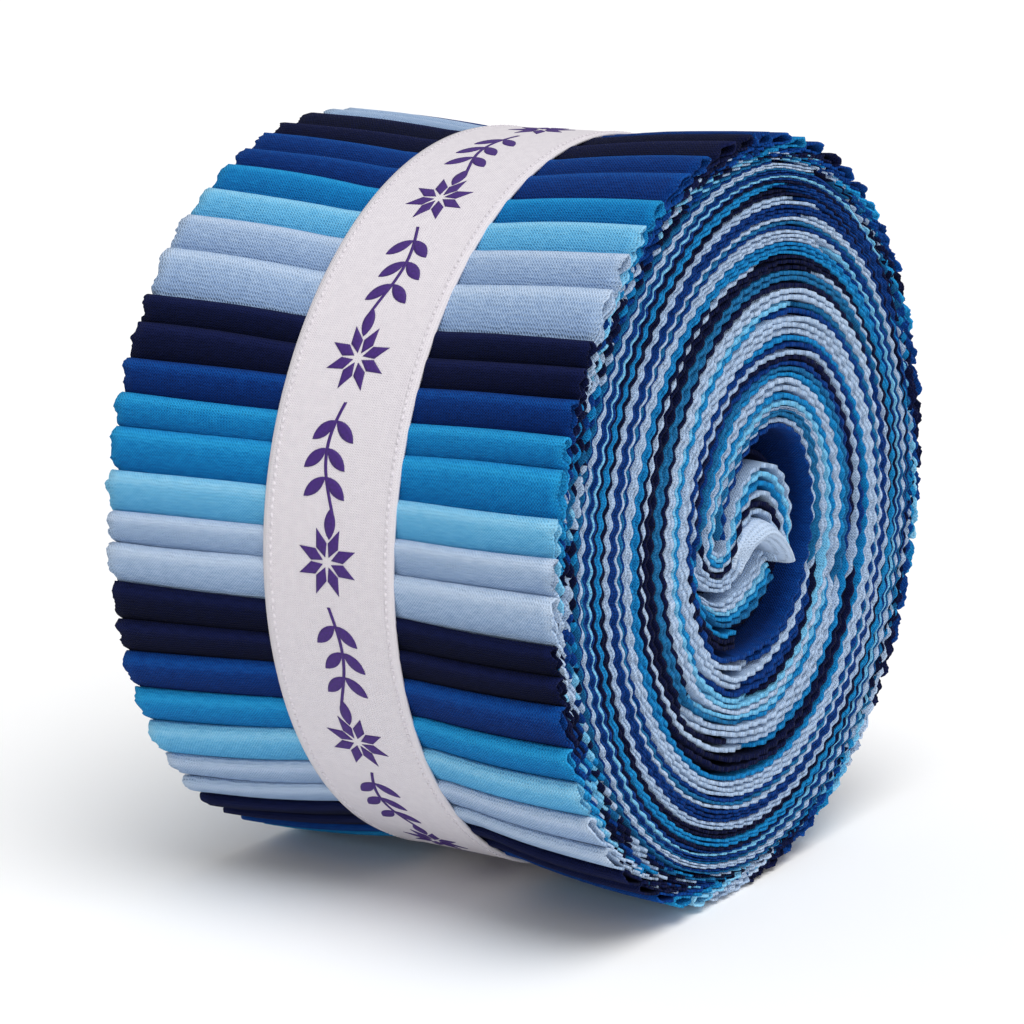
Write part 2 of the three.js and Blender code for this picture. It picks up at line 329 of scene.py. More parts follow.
def cottonMaterial(name, tones):
    # plain cotton: threads both ways from sines of the UV map, slubs from stretched noise, a lighter
    # cut edge and a slightly different tint for each strip; the edge attribute also brings the painted
    # highlight on fold crests and the painted shade under folds and down the plies' sides
    tools = NodeTools(
        name,
        Roughness=weave["roughness"],
        Sheen_Weight=weave["sheen"],
        Sheen_Roughness=weave["sheenRoughness"],
        Specular_IOR_Level=weave["specular"],
    )
    sums = tools.sums
    split = tools.add("ShaderNodeSeparateXYZ")
    tools.join(tools.uv, split.inputs[0])
    turn = 2 * math.pi / weave["threadPitch"]
    sway = sums("MULTIPLY", tools.noise(tools.uv, weave["swayScale"], 2), weave["sway"])
    warp = sums("SINE", sums("ADD", sums("MULTIPLY", split.outputs[0], turn), sway))
    weft = sums("SINE", sums("MULTIPLY", split.outputs[1], turn))
    threads = sums("MULTIPLY", warp, weft)
    cloth = sums("ADD", threads, sums("MULTIPLY", warp, weave["rowShare"]))

    stretch = tools.add("ShaderNodeMapping")
    stretch.inputs["Scale"].default_value = weave["slubStretch"]
    tools.join(tools.uv, stretch.inputs["Vector"])
    slub = tools.noise(stretch.outputs[0], weave["slubScale"], 4)
    fine = tools.bump(cloth, weave["threadStrength"], weave["threadDepth"])
    coarse = tools.bump(slub, weave["slubStrength"], weave["slubDepth"], fine)
    tools.join(coarse, tools.shader.inputs["Normal"])

    tint = tools.add("ShaderNodeAttribute", attribute_name="tint").outputs["Fac"]
    edge = tools.add("ShaderNodeAttribute", attribute_name="edge").outputs["Fac"]
    shade = sums("MULTIPLY", slub, toneSteps["slub"])
    grain = sums("ADD", shade, sums("MULTIPLY", threads, toneSteps["threads"]))
    # painted highlight and painted shade come in here through the edge attribute, with each strip's tint
    lift = sums("ADD", sums("MULTIPLY", edge, toneSteps["edge"]), tint)
    stops = [(toneSteps[f"{word}At"], tones[word]) for word in ("deep", "base", "worn")]
    tools.ramp(sums("ADD", sums("ADD", grain, lift), toneSteps["start"]), stops)
    return tools.material


materials = {name: cottonMaterial(f"{name}_cloth", tones) for name, tones in cottons.items()}
print("cotton materials made")

# The folded strip ends outside. Fold tips in degrees from +Y towards +Z, at the near and the far end;
# where there are two colours, the first is a strip's end left of the ribbon and the second right of it.
frontFolds = [
    # near, far, colour
    (86.5, 83.0, "ice royal"),
    (91.0, 88.6, "ice royal"),
    (91.6, 93.8, "navy"),
    (97.2, 101.7, "navy"),
    (105.3, 106.7, "royal"),
    (111.2, 112.5, "royal"),
    (119.2, 117.3, "mid"),
    (124.6, 123.5, "sky"),
    (130.4, 129.4, "ice"),
    (136.7, 136.0, "ice"),
    (144.8, 144.0, "navy"),
    (148.9, 148.5, "navy"),
    (153.2, 154.1, "royal"),
    (158.4, 159.5, "mid"),
    (162.9, 164.5, "mid"),
    (169.6, 170.8, "sky"),
    (175.0, 176.9, "ice"),
    (180.3, 181.6, "ice"),
    (187.3, 187.7, "navy"),
    (191.8, 193.7, "navy"),
    (196.2, 199.0, "royal"),
    (203.0, 205.5, "mid"),
    (209.0, 211.9, "sky"),
    (215.8, 219.6, "ice"),
    (223.0, 225.6, "ice"),
    (229.6, 231.4, "navy"),
]
backColours = (
    "navy royal mid sky ice ice navy navy royal royal mid sky ice ice navy navy royal royal mid sky "
    "royal navy navy royal royal mid navy royal royal mid royal royal navy royal mid royal royal"
).split()

folds = {
    "pitch": 5.8,
    "thickness": 0.28,
    "overlap": 5,
    "waistCrown": 46.32,
    "waistHalf": 9.6,
    "flare": 12.0,
    "waistSqueeze": 0.62,
    "tightSide": 330.0,
    "tightSqueeze": 0.56,
    "acrossSteps": 22,
    "shownBetween": (-1.25, -0.8),
    "hiddenStep": 0.62,
    "shownStep": 0.30,
    "sway": 0.14,
    "swayWaves": (47, 29),
    "outerFrom": -0.9,
    "puff": (-0.12, 0.16),
    "puffAt": 0.45,
    "puffSpread": 0.1,
    "swell": 0.10,
    "swellWaves": (23, 13),
    "edgeLoose": 0.25,
    "looseWaves": (9.5, 5.1),
    "edgeProud": 0.15,
    "shownBite": 0.5,
    "fray": 0.09,
    "sinkDepth": 1.6,
    "sinkBetween": (2.3, 3.8),
    "crestAt": 0.13,
    # painted highlight along the fold crests, and painted shade down the faces below them
    "crestHighlight": 1.3,
    "underShade": 1.15,
    "shadeBetween": (0.22, 1.0),
    "cutEdgeLift": 0.8,
    "tint": 0.05,
    "uvShift": (40, 7),
}

# One folded end in section, from its deep inner ply round the fold to its deep outer ply: how many
# pitches past its tip, and how far below the crown
foldSection = [
    (3.9, -4.60),
    (3.4, -3.85),
    (2.9, -3.20),
    (2.4, -2.72),
    (1.9, -2.25),
    (1.4, -1.85),
    (1.0, -1.50),
    (0.55, -1.24),
    (0.20, -1.18),
    (0.05, -1.02),
    (-0.01, -0.66),
    (0.02, -0.24),
    (0.09, 0.02),
    (0.20, 0.10),
    (0.36, 0.00),
    (0.58, -0.27),
    (0.80, -0.66),
    (0.98, -1.12),
    (1.15, -1.46),
    (1.5, -1.68),
    (2.0, -2.02),
    (2.5, -2.50),
    (3.0, -2.95),
    (3.5, -3.70),
    (3.9, -4.25),
]

# How far the outline swells and sinks round the roll: the order of each wave and its two heights
lumps = [(2, 0.3, 0.15), (3, 0.25, -0.15), (4, -0.3, -0.1)]


def allTips():
    # the front's tips from the table, then even pitches until they meet the first again
    near = [row[0] for row in frontFolds]
    far = [row[1] for row in frontFolds]
    gap = near[0] + 360 - near[-1]
    count = round(gap / folds["pitch"])
    share = np.arange(1, count) / count
    near = np.concatenate([near, near[-1] + share * gap])
    far = np.concatenate([far, far[-1] + share * (far[0] + 360 - far[-1])])
    colours = [row[2] for row in frontFolds] + backColours[: count - 1]
    return near, far, colours


def outlineSwell(angle):
    return sum(c * np.cos(n * angle) + s * np.sin(n * angle) for n, c, s in lumps)


def restOnFloor(height):
    # the mean of z and the root of z^2 + 4e^2: follows z well above the floor and never goes below it
    soft = roll["restSoftness"]
    return (height + np.sqrt(height**2 + 4 * soft**2)) / 2


def tightness(angle):
    # 1 where the turns lie tight against the wrap, 0 opposite
    return 0.5 + 0.5 * np.cos(angle - math.radians(folds["tightSide"]))


def foldProfile():
    # the section at even steps, closer where the cloth shows: how far past the tip in pitches, how
    # far below the crown, the way along, and 1 where the cloth shows
    section = smoothLine(foldSection, 8)
    scaled = section * [math.radians(folds["pitch"]) * roll["radius"], 1]
    fine, along = evenSteps(scaled, 0.1)
    shown = smoothstep(fine[:, 1], *folds["shownBetween"])
    step = folds["hiddenStep"] * (1 - shown) + folds["shownStep"] * shown
    marks = np.concatenate([[0], np.cumsum(np.diff(along) / step[1:])])
    even = np.linspace(0, marks[-1], int(round(marks[-1])) + 1)
    share = np.interp(even, marks, along)
    past = np.interp(share, along, fine[:, 0]) / scaled[0, 0] * section[0, 0]
    return past, np.interp(share, along, fine[:, 1]), share, np.interp(share, along, shown)


def makeFolds():
    near, far, colours = allTips()
    total = len(near)
    past, drop, share, shown = foldProfile()

    across = folds["acrossSteps"]
    even = np.linspace(-1, 1, across - 1)
    x = np.concatenate([[-1.0], even[:-1] + (even[1] - even[0]) / 2, [1.0]]) * halfWidth
    position = (x + halfWidth) / roll["stripWidth"]

    overlap = folds["overlap"]
    steps = np.arange(total + overlap)
    nearTips = np.concatenate([near, near[:overlap] + 360])
    farTips = np.concatenate([far, far[:overlap] + 360])
    tips = farTips[:, None] * (1 - position) + nearTips[:, None] * position
    # the waist eases off from the ribbon's edge as exp(-(beyond / flare)^1.15), and is none at the ends
    beyond = np.maximum(np.abs(x) - folds["waistHalf"], 0)
    pinch = np.exp(-((beyond / folds["flare"]) ** 1.15))
    pinch = (pinch - pinch[0]) / (1 - pinch[0])
    cloths = {name: Cloth() for name in cottons}
    for i in range(total):
        phases = dice.uniform(0, 2 * np.pi, 12)
        sway = folds["sway"] * wander(x, folds["swayWaves"], phases[:2])
        ladder = np.stack([np.interp(i + past, steps, tips[:, k]) for k in range(across)], axis=1)
        nose = np.where(past < 0, past, 0)[:, None] * folds["pitch"]
        angle = np.radians(ladder + nose + sway)
        squeeze = 1 - (1 - folds["waistSqueeze"]) * pinch
        squeeze = squeeze * (1 - (1 - folds["tightSqueeze"]) * tightness(angle) ** 2)
        crown = (roll["radius"] + outlineSwell(angle)) * (1 - pinch) + folds["waistCrown"] * pinch
        puff = dice.uniform(*folds["puff"]) + folds["swell"] * wander(x, folds["swellWaves"], phases[2:4])
        outer = drop > folds["outerFrom"]
        shallow = np.exp(-((past - folds["puffAt"]) ** 2) / folds["puffSpread"]) * outer
        rise = shallow[:, None] * puff * (1 - pinch)
        radius = crown + (drop[:, None] + rise) * squeeze
        y = radius * np.cos(angle)
        z = restOnFloor(axisHeight + radius * np.sin(angle))

        run = share[:, None] + np.zeros_like(angle)
        reach = np.broadcast_to(x, angle.shape).copy()
        depth = roll["toothDepth"] * (1 - (1 - folds["shownBite"]) * shown)
        for end, side, k in ((-1, 1, 4), (0, -1, 7)):
            slack = folds["edgeLoose"] * wander(share, folds["looseWaves"], phases[k : k + 2])
            frayed = folds["fray"] * dice.normal(size=len(share)) * shown
            bite = depth * (1 - lobes(share, phases[k + 2])) + frayed
            low = folds["sinkDepth"] * smoothstep(-drop, *folds["sinkBetween"])
            reach[:, end] -= side * (bite + low - slack - folds["edgeProud"])

        line = np.stack([y, z], axis=-1).transpose(1, 0, 2)
        flat = slopeNormals(line).transpose(1, 0, 2)
        middle = np.stack([reach, y, z], axis=-1)
        normal = np.concatenate([np.zeros_like(y)[..., None], flat], axis=-1)
        thickness = np.full(y.shape, folds["thickness"])
        uv = np.stack([run, np.broadcast_to(x, angle.shape)], axis=-1) + np.array(folds["uvShift"]) * i
        # Painted light: a painted highlight along each fold's crest, less painted shade over the lower
        # part of its face, down to where the next fold overlaps it
        crest = np.exp(-((past / folds["crestAt"] - 1) ** 2)) * outer
        paintedShade = folds["underShade"] * smoothstep(past, *folds["shadeBetween"]) * shown
        worn = folds["crestHighlight"] * crest - paintedShade
        edge = np.repeat(worn[:, None], across, axis=1)
        # the cut ends of each strip a little lighter
        edge[:, [0, -1]] += folds["cutEdgeLift"]
        words = colours[i].split()
        bounds = np.linspace(0, across - 1, len(words) + 1).astype(int)
        tint = dice.uniform(-folds["tint"], folds["tint"])
        for k, word in enumerate(words):
            part = slice(bounds[k], bounds[k + 1] + 1)
            sheet = (middle[:, part], normal[:, part], thickness[:, part], uv[:, part], edge[:, part])
            cloths[word].add(*sheet, tint)
    return cloths


def dress(piece):
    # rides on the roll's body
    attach(piece, "root")


for name, cloth in makeFolds().items():
    if cloth.count:
        piece = makeMesh(f"folds_{name}", cloth, materials[name])
        dress(piece)
        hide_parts("roll")
print("folded ends laid round the roll")

# The wound turns. Every ply starts at the rim and winds inwards anticlockwise, as seen from +X, and
# its last turn goes round a soft hollow. Angles are in degrees and "turned" is counted from the join.
turns = {
    "pliesPerTurn": 16,
    "startRadius": 50.0,
    "endRadius": 8.0,
    "outerAdvance": 8.2,
    "innerAdvance": 13.5,
    "advanceGrows": (29.0, 36.0),
    "centreOuter": (3.5, -1.9),
    "centreInner": (5.0, -2.3),
    "centreMoves": (27.0, 38.0),
    "rimRadius": 44.9,
    "rimTight": 45.9,
    "rimSoftness": 4.0,
    "rimSqueeze": 0.62,
    "rimStart": -1.8,
    "joinAngle": 250.0,
    "joinRadius": 30.6,
    "handOver": -25.0,
    "stride": 15.0,
    "step": 0.46,
    "edgeDepth": 2.6,
    "toothDepth": 0.46,
    "joinDip": 0.9,
    "joinSpread": 2.4,
    "stray": 0.16,
    "strayWaves": (31, 17),
    "drift": 0.12,
    "driftWaves": (41, 13),
    "curl": 0.10,
    "curlWaves": (19, 7.7),
    "thinnest": 0.2,
    "thickest": 0.85,
    "tipShare": 0.66,
    "sink": 1.3,
    "sinkBetween": (6.0, 22.0),
    "tuckRun": 7.0,
    "farLowered": 3.0,
    # painted shade down the plies' sides, and a lighter tone on their cut tips
    "sideShade": -1.0,
    "tipTone": 0.25,
    "tint": 0.06,
    "uvShift": 60.0,
    "stretchEnds": (-560, -190, -10, 95, 290),
    "stretchSpread": (50, 55, 25, 10, 8),
}

# The plies of a turn from the outside in: how far each one's edges stand out, and the colours of its
# stretches, which are parted at about stretchEnds, in degrees from the join
# the teal stretches are painted shade: the mid cotton darkened
plyColours = [
    # stand, outermost to innermost stretch
    (0.00, "royal mid mid navy royal navy"),
    (0.03, "royal mid navy navy ice navy"),
    (-0.12, "royal navy ice mid navy mid"),
    (-0.08, "mid navy navy ice royal ice"),
    (0.05, "royal ice navy ice teal ice"),
    (0.05, "navy ice teal ice mid ice"),
    (0.00, "teal royal teal mid ice navy"),
    (0.00, "royal royal navy sky ice ice"),
    (0.08, "ice royal ice ice mid mid"),
    (0.08, "ice ice ice sky sky sky"),
    (-0.03, "teal teal sky navy ice ice"),
    (-0.03, "royal royal mid royal ice teal"),
    (0.05, "royal ice ice royal teal royal"),
    (0.05, "sky ice ice ice teal teal"),
    (-0.10, "royal ice ice royal ice royal"),
    (0.00, "navy mid royal royal royal royal"),
]

# The last turn, about a centre in the hollow: at each angle, the radii of six lines of its plies, which
# are counted from the inside out
core = {
    "centre": (6.0, -4.0),
    "angleAtJoin": 245.0,
    "hookFrom": 5,
    "hookPlies": 8,
    "turnEnds": 540,
    "hookLeaves": 510,
}
coreLinesAt = (0, 3, 6, 10, 13, 16)
coreLines = [
    # angle, and the radii of the lines in coreLinesAt
    (240, 14.6, 18.9, 21.4, 24.0, 26.7, 29.9),
    (255, 13.2, 17.0, 19.8, 22.9, 25.5, 28.9),
    (270, 12.4, 15.8, 18.7, 22.0, 25.0, 28.2),
    (285, 12.0, 14.8, 17.4, 20.6, 24.0, 27.5),
    (300, 11.8, 14.1, 16.5, 20.0, 23.1, 26.8),
    (330, 11.2, 13.3, 15.5, 19.2, 22.1, 26.0),
    (360, 11.6, 13.5, 15.7, 19.1, 21.9, 25.6),
    (390, 12.4, 14.4, 16.4, 19.8, 22.8, 25.7),
    (420, 14.2, 16.4, 17.3, 20.7, 23.5, 26.0),
    (450, 14.5, 16.7, 17.3, 21.1, 22.9, 25.2),
    (480, 13.8, 15.7, 16.3, 20.2, 22.8, 25.0),
    (510, 12.9, 15.4, 16.2, 18.7, 21.8, 24.1),
    (540, 12.0, 14.6, 15.4, 17.5, 19.7, 21.8),
]

# The plies from hookFrom on turn back in a hook and rise in an arch: their inner and outer edges,
# from the left of the hook to the right of the arch
hookEdges = [
    # inner across, up, outer across, up
    (-9.1, -1.0, -13.6, -3.6),
    (-7.9, -2.6, -11.6, -6.2),
    (-6.2, -3.1, -8.2, -7.7),
    (-4.5, -2.2, -4.6, -8.2),
    (-3.5, 0.4, -1.8, -7.2),
    (-2.7, 2.6, -0.4, -5.4),
    (-0.8, 4.8, 0.4, -4.0),
    (2.0, 6.4, 1.6, -3.0),
    (5.0, 6.8, 3.0, -2.6),
    (8.6, 5.7, 4.6, -3.0),
    (11.4, 3.3, 6.0, -3.9),
    (12.9, 0.2, 7.2, -5.0),
    (13.3, -3.0, 8.3, -6.2),
    (12.7, -5.3, 9.2, -7.2),
]
# where the plies inside them end, and where the ones outside them reach the hollow's left bank
nookEdges = [(-5.2, 0.6, -8.6, 1.2), (-5.6, -1.5, -8.1, -1.2)]
bankEdges = [
    (-13.4, -6.6, -15.4, -8.0),
    (-10.0, -11.0, -11.4, -12.8),
    (-5.9, -13.2, -6.5, -15.4),
    (-2.6, -13.6, -2.4, -15.8),
]

# Short strands that start under the hook and end at the hollow's left bank or under the arch, the ply
# nearest the inner edge first
wedgeEdges = [
    (-13.5, -4.9, -13.7, -5.3),
    (-11.6, -7.0, -12.5, -7.6),
    (-8.6, -8.8, -9.4, -10.7),
    (-5.0, -9.2, -5.5, -12.7),
    (-1.4, -8.6, -1.0, -13.1),
    (1.4, -7.5, 2.6, -12.6),
    (4.0, -5.9, 5.4, -11.2),
    (5.2, -4.9, 8.4, -9.0),
]
# teal is the mid cotton darkened, painted shade
wedge = {"colours": "ice ice sky mid teal".split(), "stand": 0.1, "tuck": 2.5}

# Inner plies of the folded ends fill the rim all round, between the folds' shoulders and the winding's
# outermost ply, where the folds' own legs run through them. Each changes colour where one strip's ply
# gives way to the next, and inwards of both ends they duck to a radius that the ribbon's waist clears.
rim = {
    "outerDrop": 1.55,
    "duckTo": 42.9,
    "duckAt": 19.0,
    "stands": (-0.35, -0.10, -0.25, -0.02, -0.2, 0.0, -0.12),
    "sectors": 36,
    "step": 5.0,
    "stretch": (4.0, 10.0),
    "lastCut": 356,
    # teal among the colours is the mid cotton darkened, painted shade
    "colours": "navy navy royal royal teal mid ice ice sky navy".split(),
}

# Painted shade: navy plies set deep inside the hollow, where the roll has a through gap, so that the gap
# reads dark; from the outside in, and how deep their near edges lie
hollow = {
    "pitch": 1.05,
    "angles": (190, 451, 15),
    "outermost": 11.0,
    "lowered": (4.0, 8.0, 12.0, 13.6, 13.6, 13.6, 13.6),
}


def windingRadius():
    # the radius against the degrees wound, from adding up 1 / advance over the radius
    radius = np.linspace(turns["startRadius"], turns["endRadius"], 2000)
    advance = windingAdvance(radius)
    steps = -np.diff(radius) / ((advance[1:] + advance[:-1]) / 2)
    return radius, np.concatenate([[0], np.cumsum(steps)]) * 360


def windingAdvance(radius):
    # how far a turn moves inwards, less outside and more inside
    grow = smoothstep(radius, *turns["advanceGrows"])
    return turns["innerAdvance"] * (1 - grow) + turns["outerAdvance"] * grow


def windingPoint(radius, angle):
    # a point of the winding: round a centre that lies off the axis, and squeezed inside the rim
    slip = smoothstep(radius, *turns["centreMoves"])
    across = turns["centreInner"][0] * (1 - slip) + turns["centreOuter"][0] * slip
    up = turns["centreInner"][1] * (1 - slip) + turns["centreOuter"][1] * slip
    y = across + radius * np.cos(np.radians(angle))
    z = up + radius * np.sin(np.radians(angle))
    out = np.hypot(y, z)
    limit = turns["rimRadius"] + (turns["rimTight"] - turns["rimRadius"]) * tightness(np.arctan2(z, y))
    depth = limit - out
    soft = turns["rimSoftness"]
    squeezed = depth < soft
    held = np.where(squeezed, soft - (soft - depth) * turns["rimSqueeze"], depth)
    scale = (limit - held) / out
    pitch = windingAdvance(radius) / turns["pliesPerTurn"] * np.where(squeezed, turns["rimSqueeze"], 1)
    return np.stack([y * scale, z * scale, pitch], axis=-1), depth


def spiralPart(place):
    # the ply's points from the rim to the join, with its pitch and its degrees turned
    radius, wound = windingRadius()
    share = place / turns["pliesPerTurn"]
    atJoin = np.interp(turns["joinRadius"], radius[::-1], wound[::-1]) + 360 * share
    turned = np.arange(turns["handOver"], -atJoin, -turns["stride"])[::-1]
    rho = np.interp(turned + atJoin, wound, radius)
    points, depth = windingPoint(rho, turns["joinAngle"] + turned)
    outside = np.nonzero(depth < turns["rimStart"])[0]
    start = outside[-1] + 1 if len(outside) else 0
    return np.column_stack([points, turned])[start:]


def corePart(ply, lastAngle):
    # the ply's points round the hollow: its radius by interpolation between the six lines
    table = np.array([row for row in coreLines if row[0] <= lastAngle], float)
    angle = np.radians(table[:, 0])
    radius = np.array([np.interp([ply, ply + 0.5, ply + 1], coreLinesAt, row) for row in table[:, 1:]])
    y = core["centre"][0] + radius[:, 1] * np.cos(angle)
    z = core["centre"][1] + radius[:, 1] * np.sin(angle)
    return np.column_stack([y, z, radius[:, 2] - radius[:, 0], table[:, 0] - core["angleAtJoin"]])


def betweenEdges(edges, ply, plies, turned, spread=12.0):
    # the ply's points at its share of the way between two edges
    table = np.array(edges, float)
    share = (ply + 0.5) / plies
    place = table[:, :2] * (1 - share) + table[:, 2:] * share
    pitch = np.linalg.norm(table[:, 2:] - table[:, :2], axis=1) / plies
    return np.column_stack([place, pitch, turned + spread * np.arange(len(table))])


def plyLine(place):
    # the whole way of a ply: across, up, pitch and degrees turned
    ply = turns["pliesPerTurn"] - 1 - place
    hookTo = core["hookFrom"] + core["hookPlies"]
    turned = core["turnEnds"] - core["angleAtJoin"]
    if ply < core["hookFrom"]:
        end = betweenEdges(nookEdges, ply, core["hookFrom"], turned - 15)
        parts = [spiralPart(place), corePart(ply, core["hookLeaves"]), end]
    elif ply < hookTo:
        end = betweenEdges(hookEdges, ply - core["hookFrom"], core["hookPlies"], turned)
        parts = [spiralPart(place), corePart(ply, core["hookLeaves"]), end]
    else:
        end = betweenEdges(bankEdges, ply - hookTo, turns["pliesPerTurn"] - hookTo, turned + 12)
        parts = [spiralPart(place), corePart(ply, core["turnEnds"]), end]
    return np.vstack(parts)


def standingPly(
    cloths,
    guide,
    cuts,
    colours,
    stand,
    tuck=0.0,
    lowered=0.0,
    duck=0.0,
    tooth=turns["toothDepth"],
    beside=None,
):
    # one ply stood on edge along its guide, from the far edge to the near one, with both edges
    # pinked; it is cut into one closed sheet for each colour, at the given degrees turned. Where it
    # ducks, two more rows of points lie that far inwards between its ends. Where it doesn't, its edges
    # dip at each change of colour. Its teeth run on from its own start, or match those of the ply
    # beside it, whose marks the call before gave back. A lowered ply's far edge sinks less.
    line, along = evenSteps(smoothLine(guide, 12), turns["step"])
    phases = dice.uniform(0, 2 * np.pi, 16)
    flat = slopeNormals(line[:, :2])
    pitch = line[:, 2]
    stray = turns["stray"] * pitch * wander(along, turns["strayWaves"], phases[0:2])
    place = line[:, :2] + flat * stray[:, None]
    away = np.hypot(line[:, 0] - core["centre"][0], line[:, 1] - core["centre"][1])
    low = turns["sink"] * (1 - smoothstep(away, *turns["sinkBetween"]))
    low = low + tuck * (1 - smoothstep(along, 0, turns["tuckRun"]))
    bounds = [0, *np.searchsorted(line[:, 3], cuts), len(line) - 1]
    for k, row in enumerate(bounds[1:-1]):
        if colours[k] != colours[k + 1] and not duck:
            joinAt = along[min(row, len(along) - 1)]
            low = low + turns["joinDip"] * np.exp(-(((along - joinAt) / turns["joinSpread"]) ** 2))
    turned, teeth, toothPhases = beside or (line[:, 3], along, phases[6:8])
    toothRun = np.interp(line[:, 3], turned, teeth)

    rows = 6 if duck else 4
    x = np.empty((len(line), rows))
    curl = np.zeros((len(line), rows))
    if duck:
        x[:, 2:4] = [-rim["duckAt"], rim["duckAt"]]
        curl[:, 2:4] = -duck
    for tip, base, side, k in ((-1, -2, 1, 0), (0, 1, -1, 1)):
        drift = turns["drift"] * wander(along, turns["driftWaves"], phases[2 + 2 * k : 4 + 2 * k])
        bite = tooth * (1 - lobes(toothRun, toothPhases[k]))
        top = halfWidth + stand - low
        top = top - (lowered if side > 0 else min(lowered, turns["farLowered"]))
        x[:, tip] = side * (top + drift - bite)
        x[:, base] = side * (top - turns["edgeDepth"])
        bend = wander(along, turns["curlWaves"], phases[8 + 2 * k : 10 + 2 * k])
        curl[:, tip] = turns["curl"] * bend * pitch

    y = place[:, 0, None] + flat[:, 0, None] * curl
    z = place[:, 1, None] + flat[:, 1, None] * curl + axisHeight
    middle = np.stack([x, y, z], axis=-1)
    ahead = np.concatenate([np.zeros((len(line), 1)), flat], axis=1)
    normal = np.repeat(ahead[:, None, :], rows, axis=1)
    thickness = np.clip(pitch, turns["thinnest"], turns["thickest"])
    thickness = np.repeat(thickness[:, None], rows, axis=1)
    thickness[:, [0, -1]] *= turns["tipShare"]
    uv = np.stack([np.repeat(along[:, None], rows, axis=1), x], axis=-1)
    # painted shade: the ply's sides darken down into the gaps between the cords, its cut tips a little
    # lighter
    edge = np.full((len(line), rows), turns["sideShade"])
    edge[:, [0, -1]] = turns["tipTone"]

    first = 0
    for k, colour in enumerate(colours):
        last = bounds[k + 1]
        if k + 1 < len(colours) and colours[k + 1] == colour:
            continue
        if last - first >= 2:
            part = slice(first, last + 1)
            shift = dice.uniform(0, turns["uvShift"], 2)
            tint = dice.uniform(-turns["tint"], turns["tint"])
            sheet = (middle[part], normal[part], thickness[part], uv[part] + shift, edge[part])
            cloths[colour].add(*sheet, tint)
        first = last
    return turned, teeth, toothPhases


def windingRim(angle):
    # the radius that the winding's outermost plies keep round the rim: the outermost of them in each
    # sector, and then the waves up to the third order that lie nearest to those
    points = np.vstack([smoothLine(spiralPart(place), 12) for place in range(turns["pliesPerTurn"])])
    toward = np.arctan2(points[:, 1], points[:, 0])
    out = np.hypot(points[:, 0], points[:, 1]) + points[:, 2] / 2
    sectors = rim["sectors"]
    sector = np.floor(toward / (2 * np.pi) * sectors).astype(int) % sectors
    outermost = np.array([out[sector == k].max() for k in range(sectors)])
    middles = (np.arange(sectors) + 0.5) * 2 * np.pi / sectors

    def waves(turn):
        parts = [f(n * turn) for n in (1, 2, 3) for f in (np.cos, np.sin)]
        return np.stack([np.ones_like(turn), *parts], axis=-1)

    weights = np.linalg.lstsq(waves(middles), outermost, rcond=None)[0]
    return waves(angle) @ weights


def mottle(count):
    # so many colours by chance, none the same as the one before it
    picked = []
    while len(picked) < count:
        word = rim["colours"][dice.integers(len(rim["colours"]))]
        if not picked or word != picked[-1]:
            picked.append(word)
    return picked


def makeTurns():
    cloths = {name: Cloth() for name in cottons}
    for place, (stand, words) in enumerate(plyColours):
        spread = np.array(turns["stretchSpread"])
        cuts = np.array(turns["stretchEnds"]) + dice.uniform(-1, 1, len(spread)) * spread
        if place % 2 == 0:  # plies share their teeth in pairs, so that two read as one thicker cord
            beside = None
        beside = standingPly(cloths, plyLine(place), cuts, words.split(), stand, beside=beside)
    angle = np.arange(0, 361, rim["step"])
    turn = np.radians(angle)
    squeeze = 1 - (1 - folds["tightSqueeze"]) * tightness(turn) ** 2
    outer = roll["radius"] + outlineSwell(turn) - rim["outerDrop"] * squeeze
    pitch = (outer - windingRim(turn)) / len(rim["stands"])
    for k, stand in enumerate(rim["stands"]):
        radius = outer - pitch * (k + 0.5)
        guide = np.column_stack([radius * np.cos(turn), radius * np.sin(turn), pitch, angle])
        cuts = np.cumsum(dice.uniform(*rim["stretch"], 80))
        cuts = cuts[cuts < rim["lastCut"]]
        duck = float(radius.mean() - rim["duckTo"])
        shades = mottle(len(cuts) + 1)
        standingPly(cloths, guide, cuts, shades, stand, duck=duck, tooth=roll["toothDepth"])
    for i, colour in enumerate(wedge["colours"]):
        guide = betweenEdges(wedgeEdges, i, len(wedge["colours"]), 0)
        stand = dice.uniform(-wedge["stand"], wedge["stand"])
        standingPly(cloths, guide, [], [colour], stand, tuck=wedge["tuck"])
    # painted shade: navy plies deep inside the hollow's gap
    angle = np.radians(np.arange(*hollow["angles"]))
    for k, lowered in enumerate(hollow["lowered"]):
        radius = hollow["outermost"] - hollow["pitch"] * k
        y = core["centre"][0] + radius * np.cos(angle)
        z = core["centre"][1] + radius * np.sin(angle)
        guide = np.column_stack([y, z, np.full(len(angle), hollow["pitch"]), np.zeros(len(angle))])
        standingPly(cloths, guide, [], ["navy"], 0.0, lowered=lowered)
    return cloths


for name, cloth in makeTurns().items():
    if cloth.count:
        piece = makeMesh(f"turns_{name}", cloth, materials[name])
        dress(piece)
        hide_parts("roll")
print("turns wound")

# The innermost strip's free corner, folded over the end of the turns
corner = {
    "footDrop": 1.0,
    "legDepth": 3.5,
    "thickness": 0.34,
    "step": 0.3,
    "around": 26,
    "halfTurn": 1.5,
    "roundness": 1.6,
    "wrinkle": 0.10,
    "tint": 0.30,
}
cornerLine = [
    # across, up, half width, height
    (-1.9, -6.2, 0.9, -2.0),
    (-0.6, -4.2, 1.3, -0.1),
    (1.4, -2.5, 1.3, 1.3),
    (3.8, -2.1, 1.25, 1.7),
    (6.6, -3.4, 1.1, 1.7),
    (9.4, -5.5, 0.85, 1.4),
    (11.6, -7.3, 0.35, 0.8),
]


